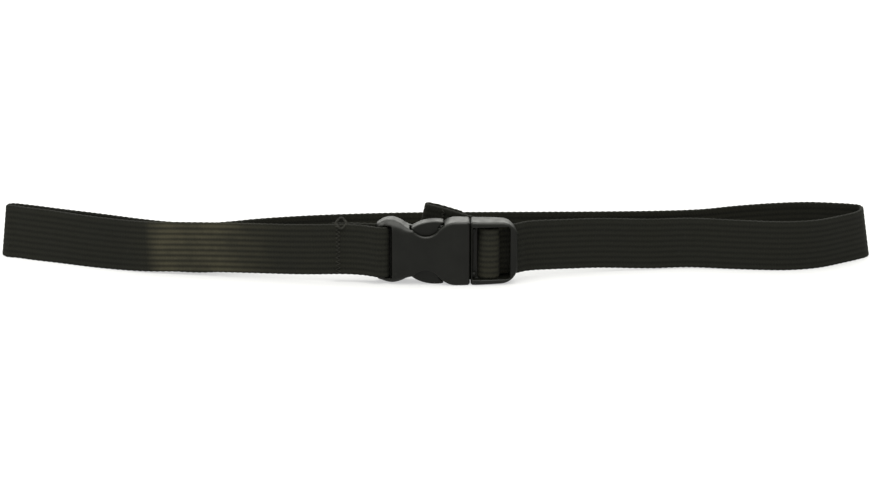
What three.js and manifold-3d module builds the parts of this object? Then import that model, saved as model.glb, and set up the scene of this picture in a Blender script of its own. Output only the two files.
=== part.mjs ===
// Elastic limb tourniquet: a ribbed elastic strap closed into a loop by a side-release buckle.
// Millimetres, +Z up. X runs along the strap, and the buckle's front faces -Y.
// The loop lies on its edge as it is put down: flattened, with a tight fold at each end.
// Everything is drawn around the middle of the buckle, and the whole is moved onto its base at the end.

import * as THREE from "three";
import { mergeVertices } from "three/addons/utils/BufferGeometryUtils.js";
import Module from "manifold-3d";

const wasm = await Module();
wasm.setup();

// Clearances
const GAP = 0.3; // between pieces that touch on the real object
const PAST = 1; // how far a cutting solid runs past the face that it opens

// Webbing
const STRAP_WIDTH = 25.4;
const STRAP_THICKNESS = 1.9;
const STRAP_STEP = STRAP_THICKNESS + GAP; // from one layer's middle to the next layer's
const HALF_STRAP = STRAP_THICKNESS / 2;

// Thread
const THREAD = 0.45;
const STITCH_LENGTH = 24;
const STITCH_COUNT = 24;

// Buckle, measured from its middle: X along the strap, Z across it
const HALF_HEIGHT = 16;
const HALF_DEPTH = 5.5;
const MOUTH_X = 11.5;
const MOUTH_CHAMFER = 1;

// Housing
const EDGE_ROUND = 1.6;
const SHOULDER_LEFT_X = 3.2;
const SHOULDER_CURVE = [-0.4, 15.9]; // pulls the rim from the shoulder down to the notch
const NOTCH_X = -9.9; // centre of the round notch that shows each latch pad
const NOTCH_Z = 16.2;
const NOTCH_RADIUS = 7.5;
const NOTCH_RIGHT_ANGLE = (-35 * Math.PI) / 180;
const NOTCH_LEFT_ANGLE = (-144 * Math.PI) / 180;
const EAR_TIP_X = -35.2;
const EAR_RIM = [
  [-17.4, 12.3],
  [-19.4, 13],
  [-21.9, 14.6],
  [-25.7, 15.9],
  [-29.1, 15.7],
  [-32, 14.6],
  [-34.4, 13],
  [EAR_TIP_X, 11.2],
];
const BAR_Z_AT_EAR = 9.6; // where the ear's outline turns in to the strap bar
const BACK_DEPTH = 6.4; // the ears reach further back than the socket
const BAR_LEFT_X = -33.5;
const BAR_RIGHT_X = -29.5;
const BAR_HALF_DEPTH = 1.75;
const WEB_SLOT_RIGHT_X = -26.4;
const WEB_SLOT_HALF = 13.2;
const SOCKET_LEFT_X = -17.6;
const SOCKET_HALF_HEIGHT = 13.8;
const SOCKET_HALF_DEPTH = 3.6;
const POCKET_LEFT_X = -22;
const POCKET_HALF_HEIGHT = 8.5;
const POCKET_HALF_DEPTH = 3;

// Plug
const PLUG_LEFT_X = 11.9;
const PLUG_RIGHT_X = 34.6;
const PLUG_END_HALF_HEIGHT = 15.3;
const PLUG_CORNER = 6.5;
const PLUG_END_HALF_DEPTH = 3.3;
const BASE_RIGHT_X = 15.5;
const COLLAR_LEFT_X = 9.8; // the collar stands inside the housing's mouth, between the arms
const COLLAR_HALF_DEPTH = 3.2;
const COLLAR_HALF_HEIGHT = 9;
const MID_BAR_LEFT_X = 18.1;
const MID_BAR_RIGHT_X = 23.6;
const MID_BAR_HALF_DEPTH = 1.5;
const END_BAR_LEFT_X = 31;
const TONGUE_LEFT_X = -20.6;
const TONGUE_HALF_HEIGHT = 2.5;
const TONGUE_HALF_DEPTH = 2.2;

// Latch arms
const PIVOT_X = 12.7;
const PIVOT_Z = 11.2;
const KNUCKLE_RADIUS = 1.3;
const ARM_HALF_DEPTH = 3.2;
const ARM_INNER_Z = 10.1;
const ARM_OUTER_Z = 12.3;
const PAD_TOP_Z = 15.9;
const PAD_TIP = [-16.8, 12.2];
const PAD_INNER_Z = 8;

// Sewn loop and folded hem
const LOOP_STITCH_X = -52.4;
const LOOP_STITCH_Y = 0.9; // middle of the front layer where the loop is sewn
const LOOP_STITCH_SPREAD = 1.1;
const HEM_STITCH_SPREAD = 0.7;
const HEM_STITCH_FROM_TIP = 8;
const HEM_FOLD_RADIUS = STRAP_STEP / 2;
const HEM_LENGTH = 17;
const HEM_TIP = new THREE.Vector3(-11.6, 13.4, 7.4);
const HEM_ALONG = new THREE.Vector3(-0.94, 0.2, 0.22).normalize();
const HEM_OUT = new THREE.Vector3(HEM_ALONG.y, -HEM_ALONG.x, 0).normalize();

const webbing = new THREE.MeshStandardMaterial({ color: 0x25251f, roughness: 0.9, metalness: 0 });
const plastic = new THREE.MeshStandardMaterial({ color: 0x232321, roughness: 0.45, metalness: 0 });
const cotton = new THREE.MeshStandardMaterial({ color: 0x2c2c26, roughness: 0.8, metalness: 0 });

function toSolid(geometry) {
  const bare = geometry.index ? geometry.clone() : geometry;
  bare.deleteAttribute("normal");
  bare.deleteAttribute("uv");
  const merged = mergeVertices(bare, 1e-4);
  const mesh = new wasm.Mesh({
    numProp: 3,
    vertProperties: new Float32Array(merged.getAttribute("position").array),
    triVerts: new Uint32Array(merged.index.array),
  });
  return new wasm.Manifold(mesh);
}

function toGeometry(solid) {
  const mesh = solid.getMesh();
  const geometry = new THREE.BufferGeometry();
  geometry.setAttribute("position", new THREE.BufferAttribute(mesh.vertProperties, 3));
  geometry.setIndex(new THREE.BufferAttribute(mesh.triVerts, 1));
  geometry.computeVertexNormals();
  return geometry;
}

function namedMesh(name, geometry, material) {
  const mesh = new THREE.Mesh(geometry, material.clone());
  mesh.name = name;
  return mesh;
}

// A block from x0 to x1, evenly about the buckle's middle in the other two directions
function block(x0, x1, halfY, halfZ) {
  const geometry = new THREE.BoxGeometry(x1 - x0, 2 * halfY, 2 * halfZ);
  geometry.translate((x0 + x1) / 2, 0, 0);
  return toSolid(geometry);
}

// An outline in X and Z made thick along Y, evenly about the middle, with its rim rounded off
function plateFromFront(shape, halfDepth, round) {
  const geometry = new THREE.ExtrudeGeometry(shape, {
    depth: 2 * (halfDepth - round),
    bevelEnabled: round > 0,
    bevelThickness: round,
    bevelSize: round,
    bevelOffset: -round,
    bevelSegments: 3,
    curveSegments: 4,
  });
  geometry.translate(0, 0, round - halfDepth);
  geometry.rotateX(Math.PI / 2);
  return toSolid(geometry);
}

// An outline in X and Y made tall along Z
function plateFromAbove(shape, halfHeight) {
  const geometry = new THREE.ExtrudeGeometry(shape, {
    depth: 2 * halfHeight,
    bevelEnabled: false,
    curveSegments: 8,
  });
  geometry.translate(0, 0, -halfHeight);
  return toSolid(geometry);
}

// The side profile: the back's and the front's depths, both listed along X
function profileShape(back, front) {
  const upper = back.map(([x, y]) => new THREE.Vector2(x, y));
  const lower = front.map(([x, y]) => new THREE.Vector2(x, y)).reverse();
  return new THREE.Shape([...upper, ...lower]);
}

// A bar with rounded long edges, lying along Z
function roundedBar(x0, x1, halfDepth, halfHeight) {
  const radius = Math.min(halfDepth, (x1 - x0) / 2) * 0.95;
  const bar = new THREE.Shape();
  bar.absarc(x1 - radius, halfDepth - radius, radius, 0, Math.PI / 2);
  bar.absarc(x0 + radius, halfDepth - radius, radius, Math.PI / 2, Math.PI);
  bar.absarc(x0 + radius, radius - halfDepth, radius, Math.PI, 1.5 * Math.PI);
  bar.absarc(x1 - radius, radius - halfDepth, radius, 1.5 * Math.PI, 2 * Math.PI);
  return plateFromAbove(bar, halfHeight);
}

// ---- Buckle housing -----------------------------------------------------------------------

// The rim above the centre line, from the mouth to the middle of the strap bar
function housingUpperRim() {
  const rim = new THREE.Path();
  const notchRightX = NOTCH_X + NOTCH_RADIUS * Math.cos(NOTCH_RIGHT_ANGLE);
  const notchRightZ = NOTCH_Z + NOTCH_RADIUS * Math.sin(NOTCH_RIGHT_ANGLE);
  rim.moveTo(MOUTH_X, HALF_HEIGHT);
  rim.lineTo(SHOULDER_LEFT_X, HALF_HEIGHT);
  rim.quadraticCurveTo(...SHOULDER_CURVE, notchRightX, notchRightZ);
  rim.absarc(NOTCH_X, NOTCH_Z, NOTCH_RADIUS, NOTCH_RIGHT_ANGLE, NOTCH_LEFT_ANGLE, true);
  rim.splineThru(EAR_RIM.map(([x, z]) => new THREE.Vector2(x, z)));
  rim.lineTo(BAR_LEFT_X, BAR_Z_AT_EAR);
  return rim.getPoints(6);
}

// A whole outline from its upper half; points closer than a tenth are one point
function mirroredShape(points) {
  const upper = points.filter((point, i) => i === 0 || point.distanceTo(points[i - 1]) > 0.1);
  const lower = upper.map((point) => new THREE.Vector2(point.x, -point.y)).reverse();
  return new THREE.Shape([...upper, ...lower]);
}

function mouthChamfer(x, direction) {
  const corner = new THREE.Shape([
    new THREE.Vector2(x, HALF_HEIGHT - MOUTH_CHAMFER),
    new THREE.Vector2(x + direction * PAST, HALF_HEIGHT - MOUTH_CHAMFER),
    new THREE.Vector2(x + direction * PAST, HALF_HEIGHT + PAST),
    new THREE.Vector2(x - direction * MOUTH_CHAMFER * 2, HALF_HEIGHT + PAST),
  ]);
  const upper = plateFromFront(corner, HALF_DEPTH + PAST, 0);
  return upper.add(upper.mirror([0, 0, 1]));
}

// The ears sweep back from the flat front, and thin towards their tips
function housingBody() {
  const back = [
    [MOUTH_X, 5.2],
    [9.5, HALF_DEPTH],
    [-3, HALF_DEPTH],
    [-13, 5.6],
    [-21, 6.2],
    [-27, BACK_DEPTH],
    [-32, 5.4],
    [EAR_TIP_X, 3.4],
  ];
  const front = [
    [MOUTH_X, -5.2],
    [9.5, -HALF_DEPTH],
    [-3, -HALF_DEPTH],
    [-13, -5.4],
    [-21, -5],
    [-26.4, -4.2],
    [-31, -2.4],
    [EAR_TIP_X, -0.8],
  ];
  const plate = plateFromFront(mirroredShape(housingUpperRim()), (BACK_DEPTH + HALF_DEPTH) / 2, EDGE_ROUND);
  return plate
    .translate([0, (BACK_DEPTH - HALF_DEPTH) / 2, 0])
    .intersect(plateFromAbove(profileShape(back, front), HALF_HEIGHT + PAST));
}

function buckleHousing() {
  const body = housingBody();
  const webSlot = block(BAR_RIGHT_X, WEB_SLOT_RIGHT_X, BACK_DEPTH + PAST, WEB_SLOT_HALF);
  const barRelief = block(EAR_TIP_X - PAST, BAR_RIGHT_X + GAP, BACK_DEPTH + PAST, WEB_SLOT_HALF);
  const bar = roundedBar(BAR_LEFT_X, BAR_RIGHT_X, BAR_HALF_DEPTH, WEB_SLOT_HALF + PAST);
  const socket = block(SOCKET_LEFT_X, MOUTH_X + PAST, SOCKET_HALF_DEPTH, SOCKET_HALF_HEIGHT);
  const pocket = block(POCKET_LEFT_X, SOCKET_LEFT_X + PAST, POCKET_HALF_DEPTH, POCKET_HALF_HEIGHT);
  const housing = body
    .subtract(webSlot)
    .subtract(barRelief)
    .add(bar)
    .subtract(socket)
    .subtract(pocket)
    .subtract(mouthChamfer(MOUTH_X, 1));
  return namedMesh("buckle_housing", toGeometry(housing), plastic);
}

// ---- Buckle plug --------------------------------------------------------------------------

function plugUpperRim() {
  const rim = new THREE.Path();
  rim.moveTo(PLUG_RIGHT_X, 0);
  rim.lineTo(PLUG_RIGHT_X, PLUG_END_HALF_HEIGHT - PLUG_CORNER);
  rim.absarc(PLUG_RIGHT_X - PLUG_CORNER, PLUG_END_HALF_HEIGHT - PLUG_CORNER, PLUG_CORNER, 0, Math.PI / 2);
  rim.lineTo(PLUG_LEFT_X, HALF_HEIGHT);
  return rim.getPoints(6).slice(1);
}

function knuckle(radius, halfDepth) {
  const pin = new THREE.CylinderGeometry(radius, radius, 2 * halfDepth, 20);
  pin.translate(PIVOT_X, 0, PIVOT_Z);
  return toSolid(pin);
}

function plugFrame() {
  const halfDepths = [
    [PLUG_RIGHT_X, PLUG_END_HALF_DEPTH],
    [28, 4.3],
    [19, 5.3],
    [15, HALF_DEPTH],
    [PLUG_LEFT_X, 5.2],
  ];
  const sides = profileShape(halfDepths, halfDepths.map(([x, y]) => [x, -y]));
  const body = plateFromFront(mirroredShape(plugUpperRim()), HALF_DEPTH, EDGE_ROUND)
    .intersect(plateFromAbove(sides, HALF_HEIGHT + PAST));
  const opening = block(BASE_RIGHT_X, END_BAR_LEFT_X, HALF_DEPTH + PAST, WEB_SLOT_HALF);
  const midBar = roundedBar(MID_BAR_LEFT_X, MID_BAR_RIGHT_X, MID_BAR_HALF_DEPTH, WEB_SLOT_HALF + PAST);
  const collar = block(COLLAR_LEFT_X, PLUG_LEFT_X + PAST, COLLAR_HALF_DEPTH, COLLAR_HALF_HEIGHT);
  const tongue = block(TONGUE_LEFT_X, PLUG_LEFT_X + PAST, TONGUE_HALF_DEPTH, TONGUE_HALF_HEIGHT);
  const socket = knuckle(KNUCKLE_RADIUS + GAP, ARM_HALF_DEPTH + GAP);
  const frame = body
    .subtract(opening)
    .add(midBar)
    .add(collar)
    .add(tongue)
    .subtract(socket)
    .subtract(socket.mirror([0, 0, 1]))
    .subtract(mouthChamfer(PLUG_LEFT_X, -1));
  return namedMesh("plug_frame", toGeometry(frame), plastic);
}

// ---- Latch arms ---------------------------------------------------------------------------

// The upper arm from the front: a springy leg, and a pad with a hook face towards the mouth
function latchOutline() {
  const arm = new THREE.Shape();
  arm.moveTo(PIVOT_X - 0.4, ARM_INNER_Z + 0.1);
  arm.lineTo(PIVOT_X - 0.4, ARM_OUTER_Z);
  arm.lineTo(-3.6, ARM_OUTER_Z + 0.1);
  arm.lineTo(-2.5, 15);
  arm.quadraticCurveTo(-2.7, PAD_TOP_Z, -5.6, PAD_TOP_Z);
  arm.quadraticCurveTo(-13, 15.8, ...PAD_TIP);
  arm.quadraticCurveTo(-16.6, PAD_INNER_Z + 0.3, -13, PAD_INNER_Z);
  arm.lineTo(-6, PAD_INNER_Z);
  arm.quadraticCurveTo(-3.5, PAD_INNER_Z, -1, ARM_INNER_Z);
  return arm;
}

function latchArm(name, side) {
  const leg = plateFromFront(latchOutline(), ARM_HALF_DEPTH, 0);
  const upper = leg.add(knuckle(KNUCKLE_RADIUS, ARM_HALF_DEPTH));
  const arm = side > 0 ? upper : upper.mirror([0, 0, 1]);
  return namedMesh(name, toGeometry(arm), plastic);
}

// ---- Webbing ------------------------------------------------------------------------------

// Across the strip at t: along it, out of its face, and over its width
function stripFrame(route, t) {
  const along = route.getTangent(t);
  const out = new THREE.Vector3(-along.y, along.x, 0).normalize();
  const across = new THREE.Vector3().crossVectors(along, out).normalize();
  return { along, out, across };
}

// A flat strip bent along a route through the middle of its section
function strip(route, pointCount, segmentsPerPoint) {
  const segments = (pointCount - 1) * segmentsPerPoint;
  const geometry = new THREE.BoxGeometry(1, STRAP_THICKNESS, STRAP_WIDTH, segments, 1, 1);
  const position = geometry.getAttribute("position");
  for (let i = 0; i < position.count; i += 1) {
    const t = position.getX(i) + 0.5;
    const { out, across } = stripFrame(route, t);
    const place = route.getPoint(t);
    place.addScaledVector(out, position.getY(i));
    place.addScaledVector(across, position.getZ(i));
    position.setXYZ(i, place.x, place.y, place.z);
  }
  return geometry;
}

// Heights of the strip's middle: level with the buckle near it, down on the base elsewhere
const LEVEL = 0;
const BASE_LIFT = 0.05; // keeps the lower edge off the base where the strip leans
const ON_BASE = STRAP_WIDTH / 2 - HALF_HEIGHT + BASE_LIFT;
const SEWN_Z = 0.6; // the sewn end rides a little high on the strap bar
const IN_SLOT = -0.35; // the strip lies low in the plug's slots

// Plan route of the loop: the sewn end behind the strap bar, round the bar, along the front to
// the left fold, back behind the buckle to the right fold, and along the front to the plug
function loopRoute() {
  const rearY = LOOP_STITCH_Y + STRAP_STEP;
  const wrapY = BAR_HALF_DEPTH + GAP + HALF_STRAP;
  const wrapX = BAR_RIGHT_X + GAP + HALF_STRAP;
  const part = (share) => LEVEL + (ON_BASE - LEVEL) * share;
  const points = [
    [-55.2, rearY, SEWN_Z],
    [-49.5, rearY, SEWN_Z],
    [-43, 3.05, SEWN_Z],
    [-37, wrapY, 0.4],
    [-31.6, wrapY, 0.2],
    [-29.8, 2.6, 0.1],
    [wrapX - 0.4, 1.5, LEVEL],
    [wrapX, 0, LEVEL],
    [wrapX - 0.4, -1.5, LEVEL],
    [-29.8, -2.6, 0.1],
    [-31.6, -wrapY, 0.2],
    [-34.4, -2.8, 0.4],
    [-38.5, -1.4, SEWN_Z],
    [-43.5, 0.1, SEWN_Z],
    [-49.5, LOOP_STITCH_Y, SEWN_Z],
    [-55.2, LOOP_STITCH_Y, SEWN_Z],
    [-62, 1.5, 0.3],
    [-75, 3.6, part(0.1)],
    [-91, 6.5, part(0.25)],
    [-111, 9.6, part(0.4)],
    [-130, 12.4, part(0.6)],
    [-147, 15.6, part(0.85)],
    [-170, 23.2, ON_BASE],
    [-194, 33.1, ON_BASE],
    [-206, 37.7, ON_BASE],
    [-213.5, 40.8, ON_BASE],
    [-218.4, 42.2, ON_BASE],
    [-220.3, 44.5, ON_BASE],
    [-219, 46.9, ON_BASE],
    [-215.6, 47.4, ON_BASE],
    [-206.8, 44.8, ON_BASE],
    [-192, 38.8, ON_BASE],
    [-170, 30.2, ON_BASE],
    [-147, 20.8, ON_BASE],
    [-131, 16.1, ON_BASE],
    [-118, 14.9, ON_BASE],
    [-104, 18, ON_BASE],
    [-95, 21.1, ON_BASE],
    [-81.6, 24.4, ON_BASE],
    [-63, 27.8, ON_BASE],
    [-23, 31.8, ON_BASE],
    [46, 33.2, ON_BASE],
    [76, 33.7, ON_BASE],
    [106, 35, ON_BASE],
    [126, 37.5, ON_BASE],
    [146, 43.8, ON_BASE],
    [166, 48.2, ON_BASE],
    [181, 49.5, ON_BASE],
    [196, 47.6, ON_BASE],
    [203.6, 46, ON_BASE],
    [208, 44.7, ON_BASE],
    [209.9, 42, ON_BASE],
    [208.3, 38.2, ON_BASE],
    [203.8, 34.4, ON_BASE],
    [197, 29.8, ON_BASE],
    [184, 21.8, ON_BASE],
    [174, 18.8, ON_BASE],
    [164, 17.9, ON_BASE],
    [142, 19.8, part(0.97)],
    [120, 22.1, part(0.9)],
    [100, 20, part(0.85)],
    [75, 17, part(0.45)],
    [60, 14.1, part(0.3)],
    [50, 11.9, part(0.2)],
    [43, 10.2, IN_SLOT],
    [38.2, 8.6, IN_SLOT],
  ];
  return points.map(([x, y, z]) => new THREE.Vector3(x, y, z));
}

function elasticStrap() {
  const points = loopRoute();
  const route = new THREE.CatmullRomCurve3(points);
  return namedMesh("elastic_strap", strip(route, points.length, 3), webbing);
}

// Route of the strap's other end, from just right of the plug: behind the end bar, over the mid
// bar, out of the left slot, and up and to the left behind the housing, folded back at its hem
function adjusterPoints() {
  const overY = -(MID_BAR_HALF_DEPTH + GAP + HALF_STRAP);
  const leftX = MID_BAR_LEFT_X - GAP - HALF_STRAP;
  const rightX = MID_BAR_RIGHT_X + GAP + HALF_STRAP;
  const points = [
    [37.8, 8.4, IN_SLOT],
    [35.6, 7, IN_SLOT],
    [33, 5.7, IN_SLOT],
    [30.6, 5.2, IN_SLOT],
    [27.6, 4.4, IN_SLOT],
    [25.7, 2.9, IN_SLOT],
    [rightX, 1, IN_SLOT],
    [rightX, -0.6, IN_SLOT],
    [24.2, -1.9, IN_SLOT],
    [22.6, overY, IN_SLOT],
    [19.2, overY, IN_SLOT],
    [17.4, -2, IN_SLOT],
    [leftX, -0.3, IN_SLOT],
    [leftX, 2.5, IN_SLOT],
    [leftX, 5, 0],
    [15.9, 7.5, 0.6],
    [13, 9, 1.5],
    [6, 10.2, 3.4],
    [-4, 12.2, 5.9],
  ];
  return points.map(([x, y, z]) => new THREE.Vector3(x, y, z));
}

// The hem turns back on itself behind the tail
function hemPoints() {
  const turn = [];
  for (let i = 0; i <= 4; i += 1) {
    const angle = (Math.PI * i) / 4;
    const point = HEM_TIP.clone();
    point.addScaledVector(HEM_ALONG, Math.sin(angle) * HEM_FOLD_RADIUS);
    point.addScaledVector(HEM_OUT, (1 - Math.cos(angle)) * HEM_FOLD_RADIUS);
    turn.push(point);
  }
  const last = turn[turn.length - 1];
  const back = last.clone().addScaledVector(HEM_ALONG, -HEM_LENGTH / 2);
  const end = last.clone().addScaledVector(HEM_ALONG, -HEM_LENGTH);
  return [...turn, back, end];
}

function adjusterWebbing() {
  const points = [...adjusterPoints(), ...hemPoints()];
  const route = new THREE.CatmullRomCurve3(points);
  return namedMesh("adjuster_webbing", strip(route, points.length, 3), webbing);
}

// ---- Stitching ----------------------------------------------------------------------------

// A zigzag row of thread, standing along Z and as wide as twice its spread
function zigzagThread(spread) {
  const geometry = new THREE.BoxGeometry(THREAD, THREAD, STITCH_LENGTH, 1, 1, STITCH_COUNT);
  const position = geometry.getAttribute("position");
  for (let i = 0; i < position.count; i += 1) {
    const row = Math.round((position.getZ(i) / STITCH_LENGTH + 0.5) * STITCH_COUNT);
    const side = row % 2 === 0 ? 1 : -1;
    position.setX(i, position.getX(i) + side * spread);
  }
  return geometry;
}

function loopStitch(name, y) {
  const thread = namedMesh(name, zigzagThread(LOOP_STITCH_SPREAD), cotton);
  thread.position.set(LOOP_STITCH_X, y, SEWN_Z);
  return thread;
}

// offset is how far the row lies behind the tail's middle
function hemStitch(name, offset) {
  const across = new THREE.Vector3().crossVectors(HEM_OUT, HEM_ALONG);
  const thread = namedMesh(name, zigzagThread(HEM_STITCH_SPREAD), cotton);
  thread.applyMatrix4(new THREE.Matrix4().makeBasis(HEM_ALONG, HEM_OUT, across.negate()));
  thread.position.copy(HEM_TIP);
  thread.position.addScaledVector(HEM_ALONG, -HEM_STITCH_FROM_TIP);
  thread.position.addScaledVector(HEM_OUT, offset);
  return thread;
}

// ---- Assembly -----------------------------------------------------------------------------

const faceOffset = HALF_STRAP + GAP + THREAD / 2;
const tourniquet = new THREE.Group();
tourniquet.add(
  buckleHousing(),
  plugFrame(),
  latchArm("upper_latch_arm", 1),
  latchArm("lower_latch_arm", -1),
  elasticStrap(),
  adjusterWebbing(),
  loopStitch("loop_stitch_needle_thread", LOOP_STITCH_Y - faceOffset),
  loopStitch("loop_stitch_bobbin_thread", LOOP_STITCH_Y + STRAP_STEP + faceOffset),
  hemStitch("hem_stitch_needle_thread", -faceOffset),
  hemStitch("hem_stitch_bobbin_thread", STRAP_STEP + faceOffset),
);

// The origin is the middle of the base
const box = new THREE.Box3().setFromObject(tourniquet, true);
const middle = box.getCenter(new THREE.Vector3());
tourniquet.position.set(-middle.x, -middle.y, -box.min.z);

export default tourniquet;
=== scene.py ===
# A limb tourniquet: a ribbed elastic strap closed into a loop by a side-release buckle.
# The buckle's mouldings are skinned from rounded solids, the webbing is a ribbed section swept
# along the strap's route, and each row of stitches is a thread laid over and into the webbing.
# Sizes are millimetres about the middle of the buckle, as in the CAD source: X along the strap,
# Y away from its front, Z up. placed() turns them into the frame's metres.

import math

import bpy
import numpy as np
from mathutils import Euler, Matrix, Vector


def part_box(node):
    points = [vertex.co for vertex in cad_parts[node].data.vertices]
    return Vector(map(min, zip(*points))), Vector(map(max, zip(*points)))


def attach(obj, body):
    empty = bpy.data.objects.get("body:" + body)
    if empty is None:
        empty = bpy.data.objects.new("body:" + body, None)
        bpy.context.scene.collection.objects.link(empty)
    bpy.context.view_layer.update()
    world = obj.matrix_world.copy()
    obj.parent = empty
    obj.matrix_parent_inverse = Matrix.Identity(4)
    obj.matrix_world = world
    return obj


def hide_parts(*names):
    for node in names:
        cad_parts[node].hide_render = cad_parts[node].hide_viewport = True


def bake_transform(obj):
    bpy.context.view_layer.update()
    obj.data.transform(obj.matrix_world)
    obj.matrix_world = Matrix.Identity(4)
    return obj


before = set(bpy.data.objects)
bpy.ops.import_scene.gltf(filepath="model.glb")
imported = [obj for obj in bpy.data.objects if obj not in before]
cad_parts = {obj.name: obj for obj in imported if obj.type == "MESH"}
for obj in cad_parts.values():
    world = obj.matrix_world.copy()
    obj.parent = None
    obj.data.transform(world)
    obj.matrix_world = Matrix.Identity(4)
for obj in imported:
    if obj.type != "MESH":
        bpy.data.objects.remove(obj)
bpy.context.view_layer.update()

MM = 0.001
PLUG_RIGHT_X = 34.6  # the plug's right end, from the middle of the buckle

housing_low, housing_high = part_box("buckle_housing")
plug_low, plug_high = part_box("plug_frame")
BUCKLE_MIDDLE = np.array([
    plug_high.x / MM - PLUG_RIGHT_X,
    (plug_low.y + plug_high.y) / 2 / MM,
    (housing_low.z + housing_high.z) / 2 / MM,
])


def placed(points):
    """Points about the buckle's middle, in millimetres, as points of the frame, in metres."""
    return (np.asarray(points, float) + BUCKLE_MIDDLE) * MM


def add_to_scene(name, data):
    """A new object with the given data."""
    made = bpy.data.objects.new(name, data)
    bpy.context.scene.collection.objects.link(made)
    return made


# ---- Camera and light -----------------------------------------------------------------------

CAMERA_ELEVATION = 18
CAMERA_LENS = 137.05
CAMERA_SENSOR = 36
CAMERA_NEAR = 0.05
CAMERA_PLACE = (-0.0002, -1.5482, 0.5150)  # metres, in the frame
LIGHT_COLOUR = (1, 1, 0.95)
WORLD_GLOW = 0.32
# Each soft light's name, place, size and watts; places and sizes are metres
SOFTBOXES = [
    ("overhead_softbox", (0, -0.1, 2.2), (3, 3), 80),
    ("back_softbox", (0, 2.4, 1.1), (3, 1.2), 34),
    ("front_fill", (-1.6, -0.9, 0.7), (1, 1), 3.5),
]


def camera():
    data = bpy.data.cameras.new("camera")
    data.lens = CAMERA_LENS
    data.sensor_width = CAMERA_SENSOR
    data.clip_start = CAMERA_NEAR
    view = add_to_scene("camera", data)
    view.location = CAMERA_PLACE
    view.rotation_euler = Euler((math.radians(90 - CAMERA_ELEVATION), 0, 0))
    bpy.context.scene.camera = view


def softbox(name, place, size, watts):
    """A rectangular soft light at place, turned to face the frame's origin."""
    data = bpy.data.lights.new(name, "AREA")
    data.shape = "RECTANGLE"
    data.size, data.size_y = size
    data.energy = watts
    data.color = LIGHT_COLOUR
    light = add_to_scene(name, data)
    light.location = place
    inwards = Vector((0, 0, 0)) - Vector(place)
    light.rotation_euler = inwards.to_track_quat("-Z", "Y").to_euler()


def studio():
    world = bpy.data.worlds.new("studio")
    world.use_nodes = True
    background = world.node_tree.nodes["Background"]
    background.inputs["Color"].default_value = (*LIGHT_COLOUR, 1)
    background.inputs["Strength"].default_value = WORLD_GLOW
    bpy.context.scene.world = world
    bpy.context.scene.view_settings.view_transform = "Standard"
    for name, place, size, watts in SOFTBOXES:
        softbox(name, place, size, watts)


# ---- Node materials -------------------------------------------------------------------------

def new_material(name, slot):
    """A material with a bare Principled shader, and the record's slot that it stands for."""
    material = bpy.data.materials.new(name)
    material.use_nodes = True
    material["slot"] = slot
    return material, material.node_tree, material.node_tree.nodes["Principled BSDF"]


def feed(tree, socket, value):
    """Gives an input either a link or a plain value."""
    if isinstance(value, bpy.types.NodeSocket):
        tree.links.new(value, socket)
    else:
        socket.default_value = value


def reckon(tree, operation, *values):
    """A Math node's result."""
    made = tree.nodes.new("ShaderNodeMath")
    made.operation = operation
    for socket, value in zip(made.inputs, values):
        feed(tree, socket, value)
    return made.outputs[0]


def noise(tree, vector, scale, detail=3, roughness=0.55):
    """A Noise node's grey level; scale is how many times it varies in a metre."""
    made = tree.nodes.new("ShaderNodeTexNoise")
    tree.links.new(vector, made.inputs["Vector"])
    made.inputs["Scale"].default_value = scale
    made.inputs["Detail"].default_value = detail
    made.inputs["Roughness"].default_value = roughness
    return made.outputs["Fac"]


def ramp(tree, factor, stops):
    """A colour ramp: stops are (position, colour or grey level)."""
    made = tree.nodes.new("ShaderNodeValToRGB")
    tree.links.new(factor, made.inputs["Fac"])
    elements = made.color_ramp.elements
    while len(elements) < len(stops):
        elements.new(0.5)
    for element, (position, colour) in zip(elements, stops):
        element.position = position
        grey = isinstance(colour, (int, float))
        element.color = (colour, colour, colour, 1) if grey else (*colour, 1)
    return made.outputs["Color"]


def mixed(tree, factor, first, second):
    """Colours first and second mixed by factor."""
    made = tree.nodes.new("ShaderNodeMix")
    made.data_type = "RGBA"
    feed(tree, made.inputs["Factor"], factor)
    for socket, colour in (("A", first), ("B", second)):
        feed(tree, made.inputs[socket], (*colour, 1) if isinstance(colour, tuple) else colour)
    return made.outputs["Result"]


def bump(tree, height, strength, depth):
    """A normal bent by height, depth metres deep at full strength."""
    made = tree.nodes.new("ShaderNodeBump")
    made.inputs["Strength"].default_value = strength
    made.inputs["Distance"].default_value = depth
    tree.links.new(height, made.inputs["Height"])
    return made.outputs["Normal"]


def object_place(tree):
    """The place on the object, in metres."""
    return tree.nodes.new("ShaderNodeTexCoord").outputs["Object"]


# ---- Moulded plastic ------------------------------------------------------------------------

PLASTIC_DARK = (0.0055, 0.0058, 0.0040)
PLASTIC_LIGHT = (0.0085, 0.0090, 0.0065)
PLASTIC_WORN = (0.04, 0.039, 0.034)


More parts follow.
